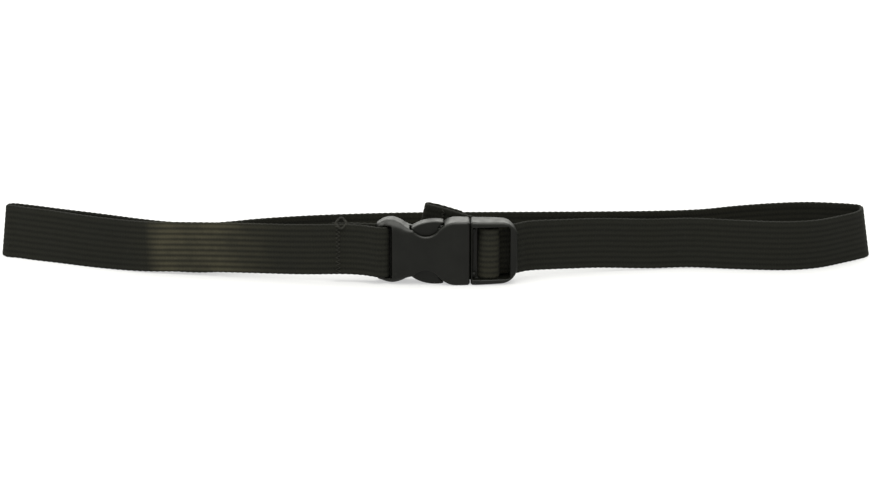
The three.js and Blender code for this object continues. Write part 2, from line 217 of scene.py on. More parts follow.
def plastic_material():
    """Black acetal: spark-eroded grain, uneven gloss, and edges rubbed paler."""
    material, tree, shader = new_material("moulded_plastic", "moulded_plastic")
    place = object_place(tree)
    grain = noise(tree, place, scale=4200, detail=2)
    cloud = noise(tree, place, scale=90)
    tone = ramp(tree, cloud, [(0.35, PLASTIC_DARK), (0.7, PLASTIC_LIGHT)])
    edge = tree.nodes.new("ShaderNodeNewGeometry").outputs["Pointiness"]
    rubbed = ramp(tree, edge, [(0.52, 0.0), (0.6, 0.5)])
    scratches = noise(tree, place, scale=700, detail=5, roughness=0.7)
    scuffs = ramp(tree, scratches, [(0.45, 0.2), (0.7, 1.0)])
    wear = reckon(tree, "MULTIPLY", rubbed, scuffs)
    tree.links.new(mixed(tree, wear, tone, PLASTIC_WORN), shader.inputs["Base Color"])
    handling = noise(tree, place, scale=260, detail=4, roughness=0.6)
    gloss = ramp(tree, handling, [(0.3, 0.36), (0.7, 0.5)])
    tree.links.new(gloss, shader.inputs["Roughness"])
    tree.links.new(bump(tree, grain, strength=0.35, depth=0.00004), shader.inputs["Normal"])
    shader.inputs["Specular IOR Level"].default_value = 0.5
    return material


# ---- Solids as distances --------------------------------------------------------------------
# Each function returns how far a point is outside a solid, negative inside it.

BEYOND = 20  # how far a cut runs past what it opens


def smooth_union(a, b, blend):
    share = np.clip(0.5 + 0.5 * (b - a) / blend, 0, 1)
    return b * (1 - share) + a * share - blend * share * (1 - share)


def smooth_cut(solid, tool, blend):
    return -smooth_union(-solid, tool, blend)


def rounded_box(x, y, z, low, high, radius):
    offsets = []
    for value, a, b in zip((x, y, z), low, high):
        offsets.append(abs(value - (a + b) / 2) - (b - a) / 2 + radius)
    outside = sum(np.maximum(offset, 0) ** 2 for offset in offsets) ** 0.5
    inside = np.minimum(np.maximum(np.maximum(offsets[0], offsets[1]), offsets[2]), 0)
    return outside + inside - radius


def rounded_plate(outline, y, front, back, front_round, back_round):
    """An outline's distance made thick from depth front to depth back, with its rim rounded."""
    middle = (front + back) / 2
    radius = np.where(y < middle, front_round, back_round)
    over = abs(y - middle) - (back - front) / 2 + radius
    beside = outline + radius
    outside = np.hypot(np.maximum(over, 0), np.maximum(beside, 0))
    return outside + np.minimum(np.maximum(over, beside), 0) - radius


def outline_distance(points, x, z):
    nearest = np.inf
    inside = np.zeros(np.broadcast(x, z).shape, bool)
    for (ax, az), (bx, bz) in zip(points, np.roll(points, -1, axis=0)):
        ex, ez = bx - ax, bz - az
        share = np.clip(((x - ax) * ex + (z - az) * ez) / (ex * ex + ez * ez), 0, 1)
        nearest = np.minimum(nearest, (x - ax - share * ex) ** 2 + (z - az - share * ez) ** 2)
        if ez != 0:
            inside ^= ((az <= z) != (bz <= z)) & (x < ax + (z - az) * ex / ez)
    return np.where(inside, -1, 1) * np.sqrt(nearest)


def profile(x, knots):
    """A smooth curve through (x, value) knots, level past both ends."""
    xs, values = np.array(sorted(knots)).T
    slopes = np.gradient(values, xs)
    x = np.clip(x, xs[0], xs[-1])
    i = np.clip(np.searchsorted(xs, x) - 1, 0, len(xs) - 2)
    gap = xs[i + 1] - xs[i]
    t = (x - xs[i]) / gap
    rising = t * t * (3 - 2 * t)
    lean = gap * t * (1 - t) * ((1 - t) * slopes[i] - t * slopes[i + 1])
    return values[i] * (1 - rising) + values[i + 1] * rising + lean


def arc(x, z, radius, start, end, steps=16):
    angles = np.radians(np.linspace(start, end, steps))
    return [(x + radius * math.cos(a), z + radius * math.sin(a)) for a in angles]


def bend(start, corner, end, steps=10):
    """A quadratic curve from start to end, pulled towards corner."""
    curve = []
    for t in np.linspace(0, 1, steps):
        weights = (1 - t) ** 2, 2 * t * (1 - t), t * t
        curve.append(tuple(np.dot(weights, (start, corner, end))))
    return curve


def through(points, steps=8):
    """A Catmull-Rom curve through points, spaced for the square root of their gaps."""
    points = np.asarray(points, float)
    ends = 2 * points[0] - points[1], 2 * points[-1] - points[-2]
    padded = np.vstack([ends[0], points, ends[1]])
    curve = []
    for before, a, b, after in zip(padded, padded[1:], padded[2:], padded[3:]):
        gaps = [np.linalg.norm(q - p) ** 0.5 for p, q in ((before, a), (a, b), (b, after))]
        leave = (a - before) / gaps[0] - (b - before) / (gaps[0] + gaps[1]) + (b - a) / gaps[1]
        reach = (b - a) / gaps[1] - (after - a) / (gaps[1] + gaps[2]) + (after - b) / gaps[2]
        for t in np.arange(steps) / steps:
            rising = t * t * (3 - 2 * t)
            lean = gaps[1] * t * (1 - t) * ((1 - t) * leave - t * reach)
            curve.append(a * (1 - rising) + b * rising + lean)
    curve.append(points[-1])
    return np.array(curve)


def mirrored(upper):
    """A closed outline from its upper half; points closer than a tenth are one point."""
    kept = [upper[0]]
    for point in upper[1:]:
        if math.dist(point, kept[-1]) > 0.1:
            kept.append(point)
    return np.array(kept + [(x, -z) for x, z in reversed(kept)])


# ---- Skinning -------------------------------------------------------------------------------

MOULD_CELL = 0.34


def corner_slices(offset):
    return tuple(slice(o, -1 if o == 0 else None) for o in offset)


def edge_ends(axis, a, b):
    """The two corners of a cell's edge along an axis, at a and b on the other two axes."""
    start = [0, 0, 0]
    start[(axis + 1) % 3], start[(axis + 2) % 3] = a, b
    end = list(start)
    end[axis] = 1
    return start, end


def cell_points(field, inside):
    """In each cell, the mean of the places where its edges cross the surface."""
    total = np.zeros(tuple(n - 1 for n in field.shape) + (3,))
    count = np.zeros(total.shape[:3])
    for axis in range(3):
        for a, b in ((0, 0), (0, 1), (1, 0), (1, 1)):
            start, end = edge_ends(axis, a, b)
            near, far = field[corner_slices(start)], field[corner_slices(end)]
            crossed = inside[corner_slices(start)] != inside[corner_slices(end)]
            share = np.where(crossed, near / np.where(crossed, near - far, 1), 0)
            total[..., axis] += share
            total[..., (axis + 1) % 3] += crossed * a
            total[..., (axis + 2) % 3] += crossed * b
            count += crossed
    return total / np.maximum(count, 1)[..., None], count > 0


def crossing_quads(inside, number):
    """A quad round each grid edge that crosses the surface, facing outwards."""
    quads = []
    for axis in range(3):
        turned = np.moveaxis(inside, axis, 0)
        cells = np.moveaxis(number, axis, 0)
        if axis == 1:
            turned, cells = turned.swapaxes(1, 2), cells.swapaxes(1, 2)
        first, second = turned[:-1, 1:-1, 1:-1], turned[1:, 1:-1, 1:-1]
        around = cells[:, :-1, :-1], cells[:, 1:, :-1], cells[:, 1:, 1:], cells[:, :-1, 1:]
        for leaving, order in ((first & ~second, (0, 1, 2, 3)), (~first & second, (3, 2, 1, 0))):
            quads.append(np.stack([around[k][leaving] for k in order], axis=1))
    return np.concatenate(quads)


def skinned(distance, low, high):
    """Points and quads of the surface where distance(x, y, z) is zero."""
    margin = 1.5 * MOULD_CELL
    axes = [np.arange(a - margin, b + margin, MOULD_CELL) for a, b in zip(low, high)]
    x, y, z = np.meshgrid(*axes, indexing="ij", sparse=True)
    field = distance(x, y, z)
    inside = field < 0
    offsets, used = cell_points(field, inside)
    number = np.full(used.shape, -1)
    number[used] = np.arange(used.sum())
    corners = np.argwhere(used)
    points = (corners + offsets[used]) * MOULD_CELL + [axis[0] for axis in axes]
    return points, crossing_quads(inside, number)


def mesh_piece(name, points, faces, material):
    """A smooth-shaded piece from points about the buckle's middle."""
    mesh = bpy.data.meshes.new(name)
    mesh.from_pydata(placed(points).tolist(), [], [list(map(int, face)) for face in faces])
    mesh.shade_smooth()
    mesh.materials.append(material)
    piece = add_to_scene(name, mesh)
    return piece


# ---- Buckle housing -------------------------------------------------------------------------

HALF_HEIGHT = 16
FRONT_Y, HOUSING_BACK_Y, PLUG_BACK_Y = -5.5, 6.5, 5.5
MOUTH_X = 11.5
NOTCH_X, NOTCH_Z, NOTCH_RADIUS = -9.9, 16.2, 7.5
SHOULDER_LEFT_X = 4
SHOULDER_CURVE = (0.4, 15.9)  # pulls the rim from the shoulder down to the notch
EAR_TIP_X = -35.2
BAR_LEFT_X, BAR_RIGHT_X, BAR_HALF_DEPTH = -33.5, -29.5, 1.75
WEB_SLOT_RIGHT_X, WEB_SLOT_HALF = -26.4, 13.2
SOCKET_LOW, SOCKET_HIGH = (-17.6, -3.6, -13.8), (MOUTH_X + BEYOND, 3.6, 13.8)
POCKET_LOW, POCKET_HIGH = (-22, -3, -8.5), (-15, 3, 8.5)
CUT_ROUND = 0.8  # the corners of slots and of the socket
BAR_ROUND = 1.6
BAR_BLEND = 0.8
SOCKET_BLEND = 0.5
# The ears sweep back from the flat front, and their front edges are full rounds
HOUSING_FRONT = [
    (MOUTH_X, -5.2), (9.5, -5.5), (-3, -5.5), (-13, -5.4),
    (-21, -5), (-26.4, -4.2), (-31, -2.4), (EAR_TIP_X, -0.8),
]
HOUSING_BACK = [
    (MOUTH_X, 5.2), (9.5, 5.5), (-3, 5.5), (-13, 5.6),
    (-21, 6.2), (-27, 6.4), (-32, 5.4), (EAR_TIP_X, 3.4),
]
HOUSING_ROUND = [
    (MOUTH_X, 1.3), (3.2, 1.3), (NOTCH_X, 1.3), (-15, 1.4), (-18, 2.4),
    (-21.9, 4.4), (-26, 5.2), (-30, 4.4), (EAR_TIP_X, 1.6),
]
HOUSING_BACK_ROUND = 1
REAR_LIP_X = -27.7  # the slot narrows behind the strap
REAR_LIP_FRONT, REAR_LIP_BACK = 0.4, 4.5
REAR_LIP_ROUND = 0.5
REAR_LIP_BLEND = 0.4


def housing_upper_rim():
    """From the mouth along the shoulder, round the notch, over the ear to the strap bar."""
    notch = arc(NOTCH_X, NOTCH_Z, NOTCH_RADIUS, -32, -144)
    ear = through([
        notch[-1], (-17.4, 12.1), (-19.4, 13), (-21.9, 14.6), (-25.7, 15.9), (-29.1, 15.7),
        (-32, 14.6), (-34.4, 13), (EAR_TIP_X, 11.2),
    ])
    shoulder = [(MOUTH_X, 15.2), (10.6, HALF_HEIGHT), (SHOULDER_LEFT_X, HALF_HEIGHT)]
    ramp_down = bend(shoulder[-1], SHOULDER_CURVE, notch[0])
    return [*shoulder, *ramp_down, *notch, *map(tuple, ear), (BAR_LEFT_X, 9.6)]


def housing_distance(x, y, z):
    outline = outline_distance(mirrored(housing_upper_rim()), x, z)
    front, back = profile(x, HOUSING_FRONT), profile(x, HOUSING_BACK)
    body = rounded_plate(outline, y, front, back, profile(x, HOUSING_ROUND), HOUSING_BACK_ROUND)
    slot_low = (EAR_TIP_X - BEYOND, -BEYOND, -WEB_SLOT_HALF)
    slot_high = (WEB_SLOT_RIGHT_X, BEYOND, WEB_SLOT_HALF)
    body = smooth_cut(body, rounded_box(x, y, z, slot_low, slot_high, CUT_ROUND), CUT_ROUND)
    into_rim = WEB_SLOT_HALF + 1
    lip_low = (REAR_LIP_X, REAR_LIP_FRONT, -into_rim)
    lip_high = (WEB_SLOT_RIGHT_X + 2, REAR_LIP_BACK, into_rim)
    lip = rounded_box(x, y, z, lip_low, lip_high, REAR_LIP_ROUND)
    body = smooth_union(body, lip, REAR_LIP_BLEND)
    bar_low = (BAR_LEFT_X, -BAR_HALF_DEPTH, -into_rim)
    bar_high = (BAR_RIGHT_X, BAR_HALF_DEPTH, into_rim)
    bar = rounded_box(x, y, z, bar_low, bar_high, BAR_ROUND)
    body = smooth_union(body, bar, BAR_BLEND)
    socket = rounded_box(x, y, z, SOCKET_LOW, SOCKET_HIGH, CUT_ROUND)
    pocket = rounded_box(x, y, z, POCKET_LOW, POCKET_HIGH, CUT_ROUND)
    return smooth_cut(body, smooth_union(socket, pocket, SOCKET_BLEND), SOCKET_BLEND)


# ---- Buckle plug ----------------------------------------------------------------------------

PLUG_LEFT_X = 11.8
PLUG_END_HALF_HEIGHT = 15.6
PLUG_CORNER = 8.2
BASE_RIGHT_X = 15.2
LIP_RIGHT_X = 12.6  # a thin full-depth lip edges the recessed base
BASE_HALF_DEPTH = 1.4
COLLAR_LOW, COLLAR_HIGH = (9.8, -3.3, -13.6), (13, 3.3, 13.6)  # fits inside the housing's mouth
MID_BAR_LEFT_X, MID_BAR_RIGHT_X, MID_BAR_HALF_DEPTH = 18.1, 23.6, 1.5
END_BAR_LEFT_X = 31
TONGUE_LOW, TONGUE_HIGH = (-20.6, -2.2, -2.5), (PLUG_LEFT_X + 1, 2.2, 2.5)
PLUG_FRONT = [(PLUG_RIGHT_X, -3.3), (28, -4.3), (19, -5.3), (15, -5.5), (PLUG_LEFT_X, -5.2)]
PLUG_BACK = [(PLUG_RIGHT_X, 3.3), (32.2, 3.7), (30.4, 5), (28, 5.4), (15, 5.5), (PLUG_LEFT_X, 5.2)]
PLUG_ROUND = 1.4
OPENING_ROUND = 1.2
STEP_ROUND = 0.3  # round the recessed base
MID_BAR_ROUND = 1.4
COLLAR_ROUND, COLLAR_BLEND = 0.6, 0.3
TONGUE_ROUND = 0.8


def plug_upper_rim():
    corner = arc(PLUG_RIGHT_X - PLUG_CORNER, PLUG_END_HALF_HEIGHT - PLUG_CORNER, PLUG_CORNER, 0, 90)
    return [*corner, (PLUG_LEFT_X + 0.8, HALF_HEIGHT), (PLUG_LEFT_X, 15.3)]


def plug_distance(x, y, z):
    outline = outline_distance(mirrored(plug_upper_rim()), x, z)
    front, back = profile(x, PLUG_FRONT), profile(x, PLUG_BACK)
    body = rounded_plate(outline, y, front, back, PLUG_ROUND, PLUG_ROUND)
    opening_low = (BASE_RIGHT_X, -BEYOND, -WEB_SLOT_HALF)
    opening_high = (END_BAR_LEFT_X, BEYOND, WEB_SLOT_HALF)
    opening = rounded_box(x, y, z, opening_low, opening_high, OPENING_ROUND)
    body = smooth_cut(body, opening, CUT_ROUND)
    for side in (-1, 1):
        near, far = sorted((side * BASE_HALF_DEPTH, side * BEYOND))
        step_low = (LIP_RIGHT_X, near, -WEB_SLOT_HALF)
        step_high = (BASE_RIGHT_X + 2, far, WEB_SLOT_HALF)
        body = smooth_cut(body, rounded_box(x, y, z, step_low, step_high, STEP_ROUND), STEP_ROUND)
    bar_low = (MID_BAR_LEFT_X, -MID_BAR_HALF_DEPTH, -WEB_SLOT_HALF - 1)
    bar_high = (MID_BAR_RIGHT_X, MID_BAR_HALF_DEPTH, WEB_SLOT_HALF + 1)
    body = smooth_union(body, rounded_box(x, y, z, bar_low, bar_high, MID_BAR_ROUND), BAR_BLEND)
    collar = rounded_box(x, y, z, COLLAR_LOW, COLLAR_HIGH, COLLAR_ROUND)
    body = smooth_union(body, collar, COLLAR_BLEND)
    tongue = rounded_box(x, y, z, TONGUE_LOW, TONGUE_HIGH, TONGUE_ROUND)
    return smooth_union(body, tongue, TONGUE_ROUND)


# ---- Latch arms -----------------------------------------------------------------------------

ARM_ROOT_X = 14.4  # inside the plug's base, with which the arm is one moulding
ARM_HALF_DEPTH = 3.2
ARM_ROUND = 0.7
ARM_INNER_Z, ARM_OUTER_Z = 10.1, 12.3
PAD_TOP_Z = 15.9
PAD_TIP = (-16.8, 12.2)
PAD_LEFT_X = -17  # just past the tip
PAD_INNER_Z = 8


def latch_outline():
    """The upper arm from the front: a springy leg, and a pad with a hook face towards the mouth."""
    crown = bend((-1.2, 15.2), (-1.4, PAD_TOP_Z), (-5.6, PAD_TOP_Z))
    slope = bend((-5.6, PAD_TOP_Z), (-12.4, 15.7), PAD_TIP)
    nose = bend(PAD_TIP, (-16.6, PAD_INNER_Z + 0.3), (-13, PAD_INNER_Z))
    leg_start = [(ARM_ROOT_X, ARM_INNER_Z), (ARM_ROOT_X, ARM_OUTER_Z), (-3.6, ARM_OUTER_Z + 0.1)]
    heel = bend((-6, PAD_INNER_Z), (-3.5, PAD_INNER_Z), (-1, ARM_INNER_Z))
    return np.array([*leg_start, *crown, *slope[1:], *nose[1:], *heel])


def latch_distance(x, y, z):
    outline = outline_distance(latch_outline(), x, z)
    return rounded_plate(outline, y, -ARM_HALF_DEPTH, ARM_HALF_DEPTH, ARM_ROUND, ARM_ROUND)


def latch_arm(name, side, node, material):
    """side is 1 for the upper arm and -1 for the lower one."""
    low = (PAD_LEFT_X, -ARM_HALF_DEPTH, PAD_INNER_Z)
    points, quads = skinned(latch_distance, low, (ARM_ROOT_X, ARM_HALF_DEPTH, PAD_TOP_Z))
    points[:, 2] *= side
    arm = mesh_piece(name, points, quads[:, ::side], material)
    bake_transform(arm)
    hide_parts(node)


def rigid_moulding(name, skin, body, node, material):
    """A moulding that rides whole with its body; skin is its points and quads."""
    moulding = mesh_piece(name, *skin, material)
    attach(moulding, body)
    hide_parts(node)


def buckle(material):
    low, high = (EAR_TIP_X, FRONT_Y, -HALF_HEIGHT), (MOUTH_X, HOUSING_BACK_Y, HALF_HEIGHT)
    housing = skinned(housing_distance, low, high)
    rigid_moulding("housing_moulding", housing, "strap_and_housing", "buckle_housing", material)
    low, high = (TONGUE_LOW[0], FRONT_Y, -HALF_HEIGHT), (PLUG_RIGHT_X, PLUG_BACK_Y, HALF_HEIGHT)
    plug = skinned(plug_distance, low, high)
    rigid_moulding("plug_moulding", plug, "plug", "plug_frame", material)
    latch_arm("upper_latch_moulding", 1, "upper_latch_arm", material)
    latch_arm("lower_latch_moulding", -1, "lower_latch_arm", material)


# ---- Webbing --------------------------------------------------------------------------------

STRAP_WIDTH = 25.4
STRAP_THICKNESS = 1.9
GAP = 0.3
STRAP_STEP = STRAP_THICKNESS + GAP
RIB_COUNT = 9
RIB_PITCH = 2.75
GROOVE_HALF_THICKNESS = 0.83
RIB_SHARPNESS = 0.6  # below 1 the ribs are broad and the grooves between them narrow
SELVEDGE = 0.55
SELVEDGE_ANGLES = (5, 35, 62, 80, 90)
PICOT_PITCH, PICOT_HEIGHT = 2.9, 0.09  # the small waves of yarn along both edges
STATION = 0.55
LEVEL = 0
ON_BASE = STRAP_WIDTH / 2 - HALF_HEIGHT + 0.05
IN_SLOT = -0.45  # the strip rests on the lower rail of the plug
SEWN_Z = 0.6  # the sewn end rides a little high on the strap bar


def part_way(share):
    """Height of the strip's middle, from level with the buckle down to resting on the base."""
    return LEVEL + (ON_BASE - LEVEL) * share


WRAP_Y = BAR_HALF_DEPTH + GAP + STRAP_THICKNESS / 2
WRAP_X = BAR_RIGHT_X + GAP + STRAP_THICKNESS / 2
LOOP_STITCH_X = -52.4
LOOP_STITCH_Y = 0.9
REAR_Y = LOOP_STITCH_Y + STRAP_STEP

# The sewn end behind the strap bar, round the bar, along the front and round the left fold
SEWN_END_ROUTE = [
    (-55.2, REAR_Y, SEWN_Z), (-49.5, REAR_Y, SEWN_Z), (-43, 3.05, SEWN_Z), (-37, WRAP_Y, 0.4),
    (-31.6, WRAP_Y, 0.2), (-29.8, 2.6, 0.1), (WRAP_X - 0.4, 1.5, LEVEL), (WRAP_X, 0, LEVEL),
    (WRAP_X - 0.4, -1.5, LEVEL), (-29.8, -2.6, 0.1), (-31.6, -WRAP_Y, 0.2), (-34.4, -2.8, 0.4),
    (-38.5, -1.4, SEWN_Z), (-43.5, 0.1, SEWN_Z), (-49.5, LOOP_STITCH_Y, SEWN_Z),
    (-55.2, LOOP_STITCH_Y, SEWN_Z), (-62, 1.5, 0.3), (-75, 3.6, part_way(0.1)),
    (-91, 6.5, part_way(0.25)), (-111, 9.6, part_way(0.4)), (-130, 12.4, part_way(0.6)),
    (-147, 15.6, part_way(0.85)), (-170, 23.2, ON_BASE), (-194, 33.1, ON_BASE), (-206, 37.7, ON_BASE),
    (-213.5, 40.8, ON_BASE), (-218.4, 42.2, ON_BASE), (-220.3, 44.5, ON_BASE), (-219, 46.9, ON_BASE),
    (-215.6, 47.4, ON_BASE), (-206.8, 44.8, ON_BASE), (-192, 38.8, ON_BASE),
]
# Behind the buckle, round the right fold and along the front to the plug
BACK_ROUTE = [
    (-170, 30.2, ON_BASE), (-147, 20.8, ON_BASE), (-131, 16.1, ON_BASE), (-118, 14.9, ON_BASE),
    (-104, 18, ON_BASE), (-95, 21.1, ON_BASE), (-81.6, 24.4, ON_BASE), (-63, 27.8, ON_BASE),
    (-23, 31.8, ON_BASE), (46, 33.2, ON_BASE), (76, 33.7, ON_BASE), (106, 35, ON_BASE),
    (126, 37.5, ON_BASE), (146, 43.8, ON_BASE), (166, 48.2, ON_BASE), (181, 49.5, ON_BASE),
    (196, 47.6, ON_BASE), (203.6, 46, ON_BASE), (208, 44.7, ON_BASE), (209.9, 42, ON_BASE),
    (208.3, 38.2, ON_BASE), (203.8, 34.4, ON_BASE), (197, 29.8, ON_BASE), (184, 21.8, ON_BASE),
    (174, 18.8, ON_BASE), (164, 17.9, ON_BASE), (142, 19.8, part_way(0.97)),
    (120, 22.1, part_way(0.9)), (100, 20, part_way(0.85)), (75, 17, part_way(0.45)),
    (60, 14.1, part_way(0.3)), (50, 11.9, part_way(0.2)), (43, 10.2, IN_SLOT),
]
OVER_Y = -(MID_BAR_HALF_DEPTH + GAP + STRAP_THICKNESS / 2)
WRAP_SLANT = 1  # the strip lies slightly askew over the mid bar
SLANT_REACH_X, SLANT_REACH_Y = 3, 6
LEFT_X = MID_BAR_LEFT_X - GAP - STRAP_THICKNESS / 2 - WRAP_SLANT
RIGHT_X = MID_BAR_RIGHT_X + GAP + STRAP_THICKNESS / 2
BEHIND_END_BAR = (33, 5.2, IN_SLOT)
# Behind the end bar, over the mid bar, out of the left slot, up and left behind the housing
ADJUSTER_ROUTE = [
    (38.2, 8.6, IN_SLOT), (35.8, 6.8, IN_SLOT), BEHIND_END_BAR, (30.3, 4.6, IN_SLOT),
    (27.4, 4, IN_SLOT), (25.6, 2.8, IN_SLOT), (RIGHT_X, 1, IN_SLOT), (RIGHT_X, -0.6, IN_SLOT),
    (24.2, -1.9, IN_SLOT), (22.6, OVER_Y, IN_SLOT), (19.2, OVER_Y, IN_SLOT), (17.4, -2, IN_SLOT),
    (LEFT_X, -0.3, IN_SLOT), (LEFT_X, 2.5, IN_SLOT), (LEFT_X, 5, LEVEL), (15.9, 7.5, 0.6),
    (13, 9, 1.5), (6, 10.2, 3.4), (-4, 12.2, 5.9),
]
HEM_TIP = np.array([-11.2, 13.4, 7.4])
HEM_SLOPE = np.array([-0.94, 0.2, 0.22])
# Along the tail, out of its face towards the end laid back, and over its width
HEM_ALONG = HEM_SLOPE / np.linalg.norm(HEM_SLOPE)
HEM_OUT = np.array([HEM_ALONG[1], -HEM_ALONG[0], 0]) / np.hypot(*HEM_ALONG[:2])
HEM_ACROSS = np.cross(HEM_OUT, HEM_ALONG)
HEM_LENGTH = 16.4
HEM_FOLD_RADIUS = STRAP_STEP / 2
HEM_RISE = 0.5  # the end laid back stands a little above the tail
ROUTE_STEPS = 24  # between neighbouring points of a route


def hem_route():
    """The half-turn at the tail's tip, and the end laid back behind it."""
    turn = []
    for angle in np.linspace(0, math.pi, 5):
        out = (1 - math.cos(angle)) * HEM_OUT
        turn.append(HEM_TIP + HEM_FOLD_RADIUS * (math.sin(angle) * HEM_ALONG + out))
    raised = turn[-1] + HEM_RISE * HEM_ACROSS
    return [*turn, raised - HEM_LENGTH / 4 * HEM_ALONG, raised - HEM_LENGTH * HEM_ALONG]


class Route:
    """A route resampled at even stations, with the directions along, out of and across the strip."""

    def __init__(self, points, hem_from):
        """hem_from is the point past which the strip is folded about its own slanting width."""
        fine = through(points, ROUTE_STEPS)
        travelled = np.concatenate([[0], np.cumsum(np.linalg.norm(np.diff(fine, axis=0), axis=1))])
        count = int(travelled[-1] / STATION) + 1
        self.length = np.linspace(0, travelled[-1], count)
        places = [np.interp(self.length, travelled, fine[:, k]) for k in range(3)]
        self.middle = np.stack(places, axis=1)
        along = np.gradient(self.middle, self.length, axis=0)
        self.along = along / np.linalg.norm(along, axis=1, keepdims=True)
        upward = np.tile([0.0, 0.0, 1.0], (count, 1))
        upward[self.station_at(hem_from):] = HEM_ACROSS
        across = upward - np.sum(upward * self.along, axis=1, keepdims=True) * self.along
        self.across = across / np.linalg.norm(across, axis=1, keepdims=True)
        self.out = np.cross(self.across, self.along)

    def station_at(self, point, first=0):
        """The station nearest to a point, of those from first on."""
        away = np.linalg.norm(self.middle[first:] - point, axis=1)
        return first + int(np.argmin(away))


def half_thickness(width):
    """The strip's half thickness at a distance from its middle: rounded ribs, thin selvedges."""
    rib = abs(np.cos(math.pi * width / RIB_PITCH)) ** RIB_SHARPNESS
    body = GROOVE_HALF_THICKNESS + (STRAP_THICKNESS / 2 - GROOVE_HALF_THICKNESS) * rib
    past = np.clip(abs(width) - (STRAP_WIDTH / 2 - SELVEDGE), 0, SELVEDGE) / SELVEDGE
    return body * np.sqrt(np.clip(1 - past**2, 0, 1))


def section_widths():
    """Where the section is sampled, from one selvedge to the other: four times in each rib."""
    ribs = np.linspace(-RIB_COUNT / 2, RIB_COUNT / 2, 4 * RIB_COUNT + 1) * RIB_PITCH
    ribs = ribs[abs(ribs) < STRAP_WIDTH / 2 - SELVEDGE]
    edge = STRAP_WIDTH / 2 - SELVEDGE + SELVEDGE * np.sin(np.radians(SELVEDGE_ANGLES))
    return np.concatenate([-edge[::-1], ribs, edge])


def strip_points(route):
    """The closed ribbed section at each station; returns points, and their width places."""
    widths = section_widths()
    half = half_thickness(widths)
    around_width = np.concatenate([widths, widths[-2:0:-1]])
    around_out = np.concatenate([half, -half[-2:0:-1]])
    picots = PICOT_HEIGHT * np.sin(2 * math.pi * route.length / PICOT_PITCH)
    on_edge = abs(around_width) > STRAP_WIDTH / 2 - SELVEDGE
    stretch = 1 + np.outer(picots, on_edge) / (STRAP_WIDTH / 2)
    points = (
        route.middle[:, None]
        + route.out[:, None] * around_out[None, :, None]
        + route.across[:, None] * (around_width * stretch)[..., None]
    )
    lean_x, lean_y = upper_edge_lean(route)
    points[..., 0] += lean_x[:, None] * (around_width / STRAP_WIDTH + 0.5)
    points[..., 1] += lean_y[:, None] * around_width / STRAP_WIDTH
    return points, around_width


def strip_faces(stations, around, closed_ends):
    """Quads between neighbouring sections, and a cap of quads at each end that is a cut end."""
    first = np.arange(stations - 1)[:, None] * around
    here = np.arange(around)
    after = (here + 1) % around
    sides = [first + here, first + after, first + after + around, first + here + around]
    faces = np.stack(sides, axis=2).reshape(-1, 4).tolist()
    for end, station in enumerate((0, stations - 1)):
        if not closed_ends[end]:
            continue
        base = station * around
        for k in range(around // 2):
            opposite = (around - k - 1) % around, (around - k) % around
            ring = [base + corner for corner in (k, k + 1, *opposite)]
            corners = list(dict.fromkeys(ring))  # at the first edge two corners are one
            faces.append(corners[::-1] if end == 0 else corners)
    return faces


LEFT_FOLD_X, RIGHT_FOLD_X, FOLD_REACH = -221, 211, 14
LEFT_FOLD_DRAWN_IN, RIGHT_FOLD_DRAWN_IN = 3, -4.6
# Where each of the two leans of the front run starts, how far along X it grows, and how far it goes
BACK_LEAN_FROM_X, BACK_LEAN_GROWS, BACK_LEAN = -140, 60, 5.4
FORWARD_LEAN_FROM_X, FORWARD_LEAN_GROWS, FORWARD_LEAN = 130, 50, -1.8


def upper_edge_lean(route):
    """How far the upper edge is from standing over the lower one, in X and in Y.

    It is drawn in at both folds, and askew in the adjuster. The front run leans back towards
    the left fold, and forward towards the right one.
    """
    x = route.middle[:, 0]
    left = LEFT_FOLD_DRAWN_IN * np.clip(1 - (x - LEFT_FOLD_X) / FOLD_REACH, 0, 1) ** 2
    right = RIGHT_FOLD_DRAWN_IN * np.clip(1 - (RIGHT_FOLD_X - x) / FOLD_REACH, 0, 1) ** 2
    front = np.clip(-route.along[:, 0], 0, 1)
    back = BACK_LEAN * np.clip((BACK_LEAN_FROM_X - x) / BACK_LEAN_GROWS, 0, 1)
    forward = FORWARD_LEAN * np.clip((x - FORWARD_LEAN_FROM_X) / FORWARD_LEAN_GROWS, 0, 1)
    near_slot = np.clip(1 - abs(x - LEFT_X) / SLANT_REACH_X, 0, 1)
    near_plug = np.clip(1 - route.middle[:, 1] / SLANT_REACH_Y, 0, 1)
    return left + right + WRAP_SLANT * (near_slot * near_plug), front * (back + forward)


def webbing_piece(name, route, first, last, closed_ends, material):
    """The stretch of a route from station first up to last, as one piece with its UV map.

    In the map U is the length along the strip and V the place over its width, in metres.
    """
    points, widths = strip_points(route)
    points = points[first:last]
    stations, around = points.shape[:2]
    faces = strip_faces(stations, around, closed_ends)
    piece = mesh_piece(name, points.reshape(-1, 3), faces, material)
    layer = piece.data.uv_layers.new(name="strip")
    corners = np.zeros(len(piece.data.loops), int)
    piece.data.loops.foreach_get("vertex_index", corners)
    lengths = route.length[first:last]
    strip = np.stack([np.repeat(lengths, around), np.tile(widths, stations)], axis=1) * MM
    layer.data.foreach_set("uv", strip[corners].ravel().astype(np.float32))
    return piece


# The colour runs from WEBBING_DARK to WEBBING_LIGHT with the weave and with painted shade in the
# grooves between the ribs.
WEBBING_DARK = (0.0070, 0.0073, 0.0049)
WEBBING_LIGHT = (0.0135, 0.0141, 0.0098)
# A faded brown on the front run; on the back run the same colour is painted light that makes the run
# paler.
WEBBING_FADED_AND_PAINTED_LIGHT = (0.066, 0.060, 0.036)
WEBBING_LINT = (0.07, 0.068, 0.058)
PICK = 1.4  # one turn of the weft along the strip
PICK_SLANT = 1.7  # how far, in radians, the weft runs ahead on the ribs
